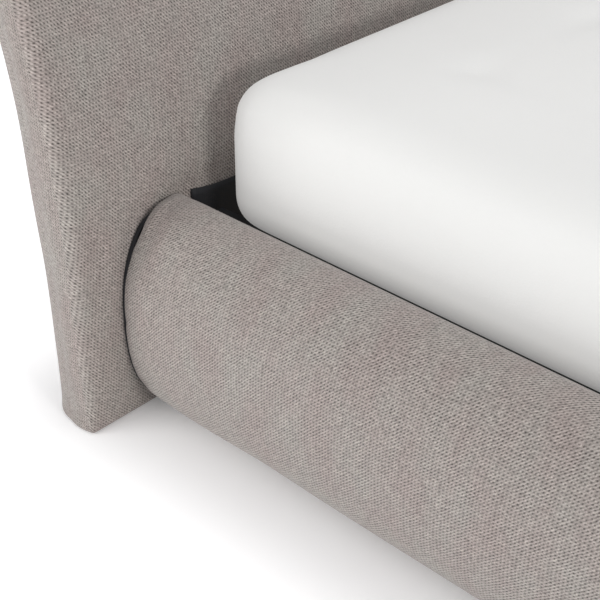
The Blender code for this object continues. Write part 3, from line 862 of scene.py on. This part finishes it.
narrow = Vector((MATTRESS_SLACK, 0.0, 0.0))
block, block_held, block_points = quilted_block(
    "mattress_body", mattress_low + narrow, mattress_high - narrow, ticking
)
tuft_x = np.arange(mattress_low.x + TUFT_FROM_SIDE, mattress_high.x - 0.2, TUFT_PITCH)
tuft_y = np.arange(mattress_high.y - TUFT_FROM_HEAD, mattress_low.y + 0.15, -TUFT_PITCH)
on_top = block_points[:, 2] > mattress_high.z - CROWN_RISE / 2
sink = np.zeros(len(block_points))
for x, y in [(x, y) for x in tuft_x for y in tuft_y]:
    distance = np.hypot(block_points[:, 0] - x, block_points[:, 1] - y)
    sink += TUFT_DEPTH * np.exp(-((distance / TUFT_WIDTH) ** 2)) * on_top
    block_held[np.argmin(distance + (1 - on_top))] = 1.0
block_points[:, 2] -= sink
block.data.vertices.foreach_set("co", block_points.astype(np.float32).ravel())
swell(block, block_held, 2.5, 0.005)
finer(block)
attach(block, "mattress")
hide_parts("mattress")


# ---- Black lining on the headboard, between the side rails ----
# A spun-bonded black cloth, cut to the opening and stapled flat over the headboard's lower face, so that
# nothing pale shows in the gap beside the mattress. It is slack by under a millimetre between staples.

LINING_GRID = 0.012
LINING_WAVE = 0.0004
LINING_LIFT = 0.009  # its top corners are pulled up, and its top edge sags between them
LINING_SAG = 0.015
lining_low, lining_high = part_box("headboard_lining")


def spun_bonded(name):
    """Short black fibres pressed together, with a lattice of weld dots 2.5 mm apart, drawn at 4 mm."""
    made, tree, shader = new_material(name, 0.70, sheen=0.05)
    place = add_node(tree, "TexCoord").outputs["Object"]
    fibres = add_node(tree, "TexNoise", None, {"Vector": place, "Scale": 900.0, "Detail": 3.0})
    dots = add_node(tree, "TexVoronoi", None, {"Vector": place, "Scale": 250.0, "Randomness": 0.15})
    black = add_node(tree, "MixRGB", None, {0: fibres.outputs[0], 1: colour("#0B0C11"), 2: colour("#181A20")})
    tree.links.new(black.outputs[0], shader.inputs["Base Color"])
    height = add_node(
        tree,
        "Math",
        {"operation": "MULTIPLY_ADD"},
        {0: fibres.outputs[0], 1: 0.5, 2: dots.outputs["Distance"]},
    )
    relief = add_node(tree, "Bump", None, {"Height": height.outputs[0], "Distance": 0.0004, "Strength": 0.5})
    tree.links.new(relief.outputs[0], shader.inputs["Normal"])
    return made


def stapled_lining(name, low, high, finish):
    """A closed sheet: front y = low + waves that fade towards the edges, back flat, joined round the rim.

    The top edge stands at lift - sag (1 - exp(-d / 0.05)), d the distance from the nearer side."""
    count_x = round((high.x - low.x) / LINING_GRID)
    count_z = round((high.z - low.z) / LINING_GRID)
    xs, zs = np.linspace(low.x, high.x, count_x + 1), np.linspace(low.z, high.z, count_z + 1)
    x, z = np.meshgrid(xs, zs, indexing="ij")
    from_edge = np.minimum(np.minimum(x - low.x, high.x - x), np.minimum(z - low.z, high.z - z))
    fade = np.minimum(1.0, from_edge / 0.05)
    wave = np.sin(x * 21.0 + 1.3 * np.sin(z * 17.0)) + np.sin(x * 9.0 - z * 31.0)
    from_side = np.minimum(x - low.x, high.x - x)
    lift = LINING_LIFT - LINING_SAG * (1 - np.exp(-from_side / 0.05))
    z = low.z + (z - low.z) * (1 + lift / (high.z - low.z))
    front = np.stack([x, low.y - LINING_WAVE * (wave - 2.0) * fade * 0.5, z], -1)
    back = np.stack([x, np.full_like(x, high.y), z], -1)
    number = np.arange(x.size).reshape(x.shape)
    squares = [number[:-1, :-1], number[1:, :-1], number[1:, 1:], number[:-1, 1:]]
    faces = np.stack(squares, -1).reshape(-1, 4)
    rim = np.concatenate([number[:-1, 0], number[-1, :-1], number[:0:-1, -1], number[0, :0:-1]])
    ahead = np.roll(rim, -1)
    sides = np.stack([rim, rim + x.size, ahead + x.size, ahead], -1)
    points = np.concatenate([front.reshape(-1, 3), back.reshape(-1, 3)])
    return link_mesh(name, points, np.concatenate([faces, faces[:, ::-1] + x.size, sides]).tolist(), finish)


# The same black is the real lining's cloth and, on the rail-end pads and slat strips, painted shade.
lining_and_shade_black = spun_bonded("black_lining_and_painted_shade")
lining = stapled_lining("headboard_lining_cloth", lining_low, lining_high, lining_and_shade_black)
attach(lining, "bed_frame")
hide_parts("headboard_lining")


# ---- Black pads on the rails' ends: painted shade ----
# Black plates in the same black cloth as the lining close the open ends of the bolsters. They are painted
# shade: a black line in the crevice between the taupe cloth of the rail and the end board.


def end_shade_pad(name, sign, outline, near, far, finish):
    """The outline, (inboard, up), as a flat closed black plate from near to far in Y, which is painted shade.
    """
    size = outline.max(0) - outline.min(0)
    columns = len(outline)
    x = sign * (RAIL_X - outline[:, 0])
    rings = [np.stack([x, np.full(columns, y), outline[:, 1]], -1) for y in (near, far)]
    flat_map = np.zeros((2, columns + 1))
    lids = [np.arange(columns), columns + np.arange(columns)]
    made = closed_skin(name, np.stack(rings), flat_map, flat_map, lids, finish)
    made.data.set_sharp_from_angle(angle=math.radians(40))
    return made, size


for side, sign in (("left", -1), ("right", 1)):
    for end, near, far in (
        ("head", HEAD_FACE - RAIL_END_GAP - 0.004, HEAD_FACE - 0.0020),
        ("foot", FOOT_FACE + RAIL_END_GAP + 0.004, FOOT_FACE + 0.0004),
    ):
        pad, shade_pad_size = end_shade_pad(
            f"rail_end_shade_pad_{end}_{side}", sign, shade_pad_outlines[side], near, far, lining_and_shade_black
        )
        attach(pad, "bed_frame")


# ---- Black strips over the slat ends: painted shade ----
# The same black cloth, cut 60 mm wide and laid over the slat ends along both rails as painted shade, so that
# the gap between the mattress and the rail shows dark. It reaches from end board to end board, slack between
# slats.

STRIP_WIDTH = 0.060
STRIP_THICKNESS = 0.0006
STRIP_SLACK = 0.0015
slat_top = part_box("slat_01")[1].z


def slat_shade_strip(name, sign, finish):
    """A closed black strip along Y, which is painted shade. Between slats it hangs by the slack times -cos(2
    pi y / pitch).
    """
    pitch = (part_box("slat_12")[0].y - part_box("slat_01")[0].y) / 11
    start, stop = FOOT_FACE + 0.003, HEAD_FACE - 0.004
    y = np.linspace(start, stop, round((stop - start) / 0.012) + 1)
    phase = (y - (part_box("slat_01")[0].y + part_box("slat_01")[1].y) / 2) / pitch
    low = slat_top + 0.0004 - STRIP_SLACK * np.maximum(0.0, -np.cos(math.tau * phase))
    outer = sign * (lining_high.x - 0.0005)
    x = np.linspace(outer, outer - sign * STRIP_WIDTH, 5)
    under = np.stack(
        [np.tile(x, (len(y), 1)), np.tile(y[:, None], (1, 5)), np.tile(low[:, None], (1, 5))], -1
    )
    over = under[:, ::-1] + np.array([0.0, 0.0, STRIP_THICKNESS])
    rings = np.concatenate([under, over], 1)
    columns = rings.shape[1]
    flat_map = np.zeros((len(y), columns + 1))
    lids = [np.arange(columns), (len(y) - 1) * columns + np.arange(columns)]
    return closed_skin(name, rings, flat_map, flat_map, lids, finish), stop - start


for side, sign in (("left", -1), ("right", 1)):
    strip, shade_strip_length = slat_shade_strip("slat_end_shade_strip_" + side, sign, lining_and_shade_black)
    strip.data.set_sharp_from_angle(angle=math.radians(40))
    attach(strip, "bed_frame")


# ---- Steel parts: corner plates, bolts, beam hangers and staples ----
# Cold-rolled sheet and screws with a bright zinc plate: cool grey, half glossy, slightly clouded by the bath.
# The staples have 10 mm crowns of 1.2 mm wire, driven flush along the lining's lower edge.


def zinc_plate(name):
    """Bright zinc: soft clouds of roughness 20-60 mm wide, and fine rolling lines drawn at 1 mm."""
    made, tree, shader = new_material(name, 0.34, metallic=1.0)
    place = add_node(tree, "TexCoord").outputs["Object"]
    clouds = add_node(tree, "TexNoise", None, {"Vector": place, "Scale": 30.0, "Detail": 4.0})
    rolled = add_node(tree, "Mapping", None, {"Vector": place, "Scale": (60.0, 60.0, 1000.0)})
    lines = add_node(tree, "TexNoise", None, {"Vector": rolled.outputs[0], "Scale": 1.0, "Detail": 1.0})
    tint = add_node(tree, "MixRGB", None, {0: clouds.outputs[0], 1: colour("#B4B8BC"), 2: colour("#D3D6D8")})
    gloss = add_node(
        tree,
        "MapRange",
        None,
        {"Value": clouds.outputs[0], "From Min": 0.3, "From Max": 0.7, "To Min": 0.26, "To Max": 0.46},
    )
    tree.links.new(tint.outputs[0], shader.inputs["Base Color"])
    tree.links.new(gloss.outputs[0], shader.inputs["Roughness"])
    relief = add_node(tree, "Bump", None, {"Height": lines.outputs[0], "Distance": 0.0002, "Strength": 0.25})
    tree.links.new(relief.outputs[0], shader.inputs["Normal"])
    return made


def finish_nodes(finish, *starts):
    """Gives a finish to every CAD node whose name starts with one of these."""
    for node_name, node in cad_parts.items():
        if node_name.startswith(starts):
            node.data.materials.clear()
            node.data.materials.append(finish)


zinc = zinc_plate("bright_zinc_plated_steel")
finish_nodes(zinc, "corner_plate_", "bolt_", "beam_hanger_")

STAPLE_CROWN = 0.010
STAPLE_WIRE = 0.0012
STAPLE_STEP = 0.045
STAPLE_INSET = 0.008


def staples(name, places, along, out, finish):
    """One block of a bent crown for each place: a low arch, thick at the middle and sunk at both ends."""
    along, out = np.array(along, float), np.array(out, float)
    side = np.cross(along, out)
    reach = np.array([-1.0, -0.8, 0.8, 1.0]) * STAPLE_CROWN / 2
    rise = np.array([-0.3, 1.0, 1.0, -0.3]) * STAPLE_WIRE
    points, faces = [], []
    for place in places:
        first = len(points)
        for step, height in zip(reach, rise):
            for half in (-0.5, 0.5):
                for up in (False, True):
                    level = height if up else -0.6 * STAPLE_WIRE
                    points.append(place + along * step + side * half * STAPLE_WIRE + out * level)
        for i in range(3):
            a = first + 4 * i
            faces += [(a, a + 1, a + 5, a + 4), (a + 2, a + 6, a + 7, a + 3)]
            faces += [(a + 1, a + 3, a + 7, a + 5), (a, a + 4, a + 6, a + 2)]
        faces += [(first, first + 2, first + 3, first + 1), (first + 12, first + 13, first + 15, first + 14)]
    return link_mesh(name, [tuple(point) for point in points], faces, finish)


row_x = np.arange(lining_low.x + 0.02, lining_high.x - 0.01, STAPLE_STEP)
staple_places = [np.array([x, lining_low.y, lining_low.z + STAPLE_INSET]) for x in row_x]
lining_staples = staples("lining_staples", staple_places, along=(1, 0, 0), out=(0, -1, 0), finish=zinc)
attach(lining_staples, "bed_frame")


# ---- Plywood: end-board panels, gables and side-rail boards ----
# Rotary-cut poplar plywood: pale, with a broad flame figure along the sheet and fine pores.


def plywood(name, grain):
    """Figure is noise drawn out 12 times along the grain, and pores are a fine noise drawn out 23 times."""
    made, tree, shader = new_material(name, 0.55)
    place = add_node(tree, "TexCoord").outputs["Object"]
    stretch = [22.0, 22.0, 22.0]
    stretch[grain] = 1.8
    figure_place = add_node(tree, "Mapping", None, {"Vector": place, "Scale": tuple(stretch)})
    figure = add_node(
        tree,
        "TexNoise",
        None,
        {"Vector": figure_place.outputs[0], "Scale": 1.0, "Detail": 5.0, "Distortion": 0.6},
    )
    pores = [1400.0, 1400.0, 1400.0]
    pores[grain] = 60.0
    pore_place = add_node(tree, "Mapping", None, {"Vector": place, "Scale": tuple(pores)})
    pore = add_node(tree, "TexNoise", None, {"Vector": pore_place.outputs[0], "Scale": 1.0, "Detail": 2.0})
    ramp = add_node(tree, "ValToRGB", None, {0: figure.outputs[0]})
    ramp.color_ramp.elements[0].position = 0.35
    ramp.color_ramp.elements[0].color = colour("#B99E78")
    ramp.color_ramp.elements[1].position = 0.66
    ramp.color_ramp.elements[1].color = colour("#DAC6A2")
    line = ramp.color_ramp.elements.new(0.50)
    line.color = colour("#CDB48D")
    dust = add_node(
        tree,
        "MapRange",
        None,
        {"Value": pore.outputs[0], "From Min": 0.3, "From Max": 0.7, "To Min": 0.88, "To Max": 1.06},
    )
    tinted = add_node(
        tree, "VectorMath", {"operation": "SCALE"}, {0: ramp.outputs[0], "Scale": dust.outputs[0]}
    )
    tree.links.new(tinted.outputs[0], shader.inputs["Base Color"])
    relief = add_node(tree, "Bump", None, {"Height": pore.outputs[0], "Distance": 0.0003, "Strength": 0.4})
    tree.links.new(relief.outputs[0], shader.inputs["Normal"])
    return made


finish_nodes(plywood("poplar_plywood_along_bed", 1), "side_rail_board_")
finish_nodes(
    plywood("poplar_plywood_upright", 2),
    "headboard_front",
    "headboard_back",
    "headboard_gable",
    "footboard_inner",
    "footboard_outer",
    "footboard_gable",
)


# ---- Sawn and planed softwood: cross rails, ledges, centre beam and turned legs ----
# Planed pine: cream earlywood with honey latewood lines about 4 mm apart along each board.


def planed_pine(name, grain):
    """Rings are sin(n r), r the distance from a pith line outside the board, shaken by noise."""
    made, tree, shader = new_material(name, 0.50)
    place = add_node(tree, "TexCoord").outputs["Object"]
    stretch = [14.0, 14.0, 14.0]
    stretch[grain] = 1.0
    slow = add_node(tree, "Mapping", None, {"Vector": place, "Scale": tuple(stretch)})
    wander = add_node(tree, "TexNoise", None, {"Vector": slow.outputs[0], "Scale": 1.0, "Detail": 3.0})
    scale = [1.0, 1.0, 1.0]
    scale[grain] = 0.03
    pith = [0.31, 0.27, 0.33]
    pith[grain] = 0.0
    board = add_node(tree, "Mapping", None, {"Vector": place, "Location": tuple(pith), "Scale": tuple(scale)})
    distance = add_node(tree, "VectorMath", {"operation": "LENGTH"}, {0: board.outputs[0]})
    shaken = add_node(
        tree,
        "Math",
        {"operation": "MULTIPLY_ADD"},
        {0: wander.outputs[0], 1: 0.055, 2: distance.outputs["Value"]},
    )
    count = add_node(tree, "Math", {"operation": "MULTIPLY"}, {0: shaken.outputs[0], 1: math.tau / 0.0042})
    ring = add_node(tree, "Math", {"operation": "SINE"}, {0: count.outputs[0]})
    late = add_node(tree, "MapRange", None, {"Value": ring.outputs[0], "From Min": -0.2, "From Max": 1.0})
    wood = add_node(tree, "MixRGB", None, {0: late.outputs[0], 1: colour("#E2C9A0"), 2: colour("#C69C68")})
    fibres = [900.0, 900.0, 900.0]
    fibres[grain] = 30.0
    fibre_place = add_node(tree, "Mapping", None, {"Vector": place, "Scale": tuple(fibres)})
    fibre = add_node(tree, "TexNoise", None, {"Vector": fibre_place.outputs[0], "Scale": 1.0, "Detail": 2.0})
    shade = add_node(
        tree,
        "MapRange",
        None,
        {"Value": fibre.outputs[0], "From Min": 0.3, "From Max": 0.7, "To Min": 0.90, "To Max": 1.07},
    )
    tinted = add_node(
        tree, "VectorMath", {"operation": "SCALE"}, {0: wood.outputs[0], "Scale": shade.outputs[0]}
    )
    tree.links.new(tinted.outputs[0], shader.inputs["Base Color"])
    relief = add_node(tree, "Bump", None, {"Height": ring.outputs[0], "Distance": 0.0001, "Strength": 0.5})
    tree.links.new(relief.outputs[0], shader.inputs["Normal"])
    return made


pine_across = planed_pine("planed_pine_across_bed", 0)
pine_along = planed_pine("planed_pine_along_bed", 1)
pine_upright = planed_pine("turned_pine", 2)
finish_nodes(
    pine_across,
    "headboard_bottom",
    "headboard_bolt",
    "headboard_middle",
    "headboard_top",
    "footboard_bottom",
    "footboard_bolt",
    "footboard_top",
    "slat_",
)
finish_nodes(pine_along, "slat_ledge_", "centre_beam")
finish_nodes(pine_upright, "centre_leg_")


# ---- Slats ----
# Twelve planed pine slats with eased edges. Each lies on the two ledges, and two countersunk screws at
# each end hold it there.

SLAT_EASE = 0.003
slat_boxes = [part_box(f"slat_{i:02d}") for i in range(1, 13)]


def eased_slats(name, boxes, finish):
    """Each slat's section is a rectangle with quarter-round edges, carried along X, drawn in at both ends."""
    quarter = np.linspace(0, math.pi / 2, 4)
    points, faces = [], []
    for low, high in boxes:
        half_y, half_z = (high.y - low.y) / 2, (high.z - low.z) / 2
        middle_y, middle_z = (high.y + low.y) / 2, (high.z + low.z) / 2
        stations = [
            (low.x, SLAT_EASE), (low.x + SLAT_EASE, 0.0), (high.x - SLAT_EASE, 0.0), (high.x, SLAT_EASE)
        ]
        first = len(points)
        columns = 4 * len(quarter)
        for x, draw in stations:
            for turn, (side_y, side_z) in enumerate(((1, 1), (-1, 1), (-1, -1), (1, -1))):
                for angle in quarter + turn * math.pi / 2:
                    y = side_y * (half_y - SLAT_EASE) + (SLAT_EASE - draw) * math.cos(angle)
                    z = side_z * (half_z - SLAT_EASE) + (SLAT_EASE - draw) * math.sin(angle)
                    points.append((x, middle_y + y, middle_z + z))
        for row in range(3):
            for column in range(columns):
                a, b = first + row * columns + column, first + row * columns + (column + 1) % columns
                faces.append((a, b, b + columns, a + columns))
        faces.append(tuple(first + column for column in range(columns)))
        faces.append(tuple(first + 3 * columns + column for column in range(columns)))
    piece = link_mesh(name, points, faces, finish)
    piece.data.set_sharp_from_angle(angle=math.radians(40))
    return piece


slats = eased_slats("pine_slats", slat_boxes, pine_across)
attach(slats, "bed_frame")
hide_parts(*[f"slat_{i:02d}" for i in range(1, 13)])

SCREW_RADIUS = 0.0042
SCREW_FROM_END = 0.018


def screw_heads(name, places, finish):
    """Countersunk heads: a flat disc whose middle and four points round it are pressed 0.9 mm down."""
    ring = np.linspace(0, math.tau, 17)[:-1]
    points, faces = [], []
    for place in places:
        first = len(points)
        points.append((place[0], place[1], place[2] - 0.0009))
        for radius, drop in ((0.45, 0.0), (1.0, 0.0), (0.95, -0.0012)):
            for k, angle in enumerate(ring):
                pressed = -0.0009 if radius < 0.5 and k % 4 == 0 else drop
                x = place[0] + radius * SCREW_RADIUS * math.cos(angle)
                y = place[1] + radius * SCREW_RADIUS * math.sin(angle)
                points.append((x, y, place[2] + pressed))
        count = len(ring)
        for k in range(count):
            after = (k + 1) % count
            faces.append((first, first + 1 + k, first + 1 + after))
            for layer in range(2):
                a = first + 1 + layer * count
                faces.append((a + k, a + count + k, a + count + after, a + after))
        faces.append(tuple(first + 1 + 2 * count + k for k in range(count)))
    return link_mesh(name, points, faces, finish)


screw_places = []
for low, high in slat_boxes:
    for end_x in (low.x + SCREW_FROM_END, high.x - SCREW_FROM_END):
        for share in (0.27, 0.73):
            screw_places.append((end_x, low.y + share * (high.y - low.y), high.z + 0.0004))
screws = screw_heads("slat_screws", screw_places, zinc)
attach(screws, "bed_frame")


# ---- Nylon: glides under the gables and the levelling feet of the centre legs ----
# Injection-moulded black nylon: a fine spark-eroded texture with a low satin shine, and scuffs.


def moulded_nylon(name):
    """Roughness follows scuffs 5 mm wide. Height follows a texture 0.4 mm wide, drawn at 0.8 mm."""
    made, tree, shader = new_material(name, 0.48, ior=1.53)
    place = add_node(tree, "TexCoord").outputs["Object"]
    texture = add_node(tree, "TexNoise", None, {"Vector": place, "Scale": 1200.0, "Detail": 2.0})
    scuffs = add_node(tree, "TexNoise", None, {"Vector": place, "Scale": 200.0, "Detail": 3.0})
    tint = add_node(tree, "MixRGB", None, {0: scuffs.outputs[0], 1: colour("#141415"), 2: colour("#262627")})
    gloss = add_node(
        tree,
        "MapRange",
        None,
        {"Value": scuffs.outputs[0], "From Min": 0.3, "From Max": 0.7, "To Min": 0.38, "To Max": 0.60},
    )
    tree.links.new(tint.outputs[0], shader.inputs["Base Color"])
    tree.links.new(gloss.outputs[0], shader.inputs["Roughness"])
    relief = add_node(tree, "Bump", None, {"Height": texture.outputs[0], "Distance": 0.0002, "Strength": 0.4})
    tree.links.new(relief.outputs[0], shader.inputs["Normal"])
    return made


finish_nodes(moulded_nylon("black_moulded_nylon"), "glide_", "levelling_foot_")
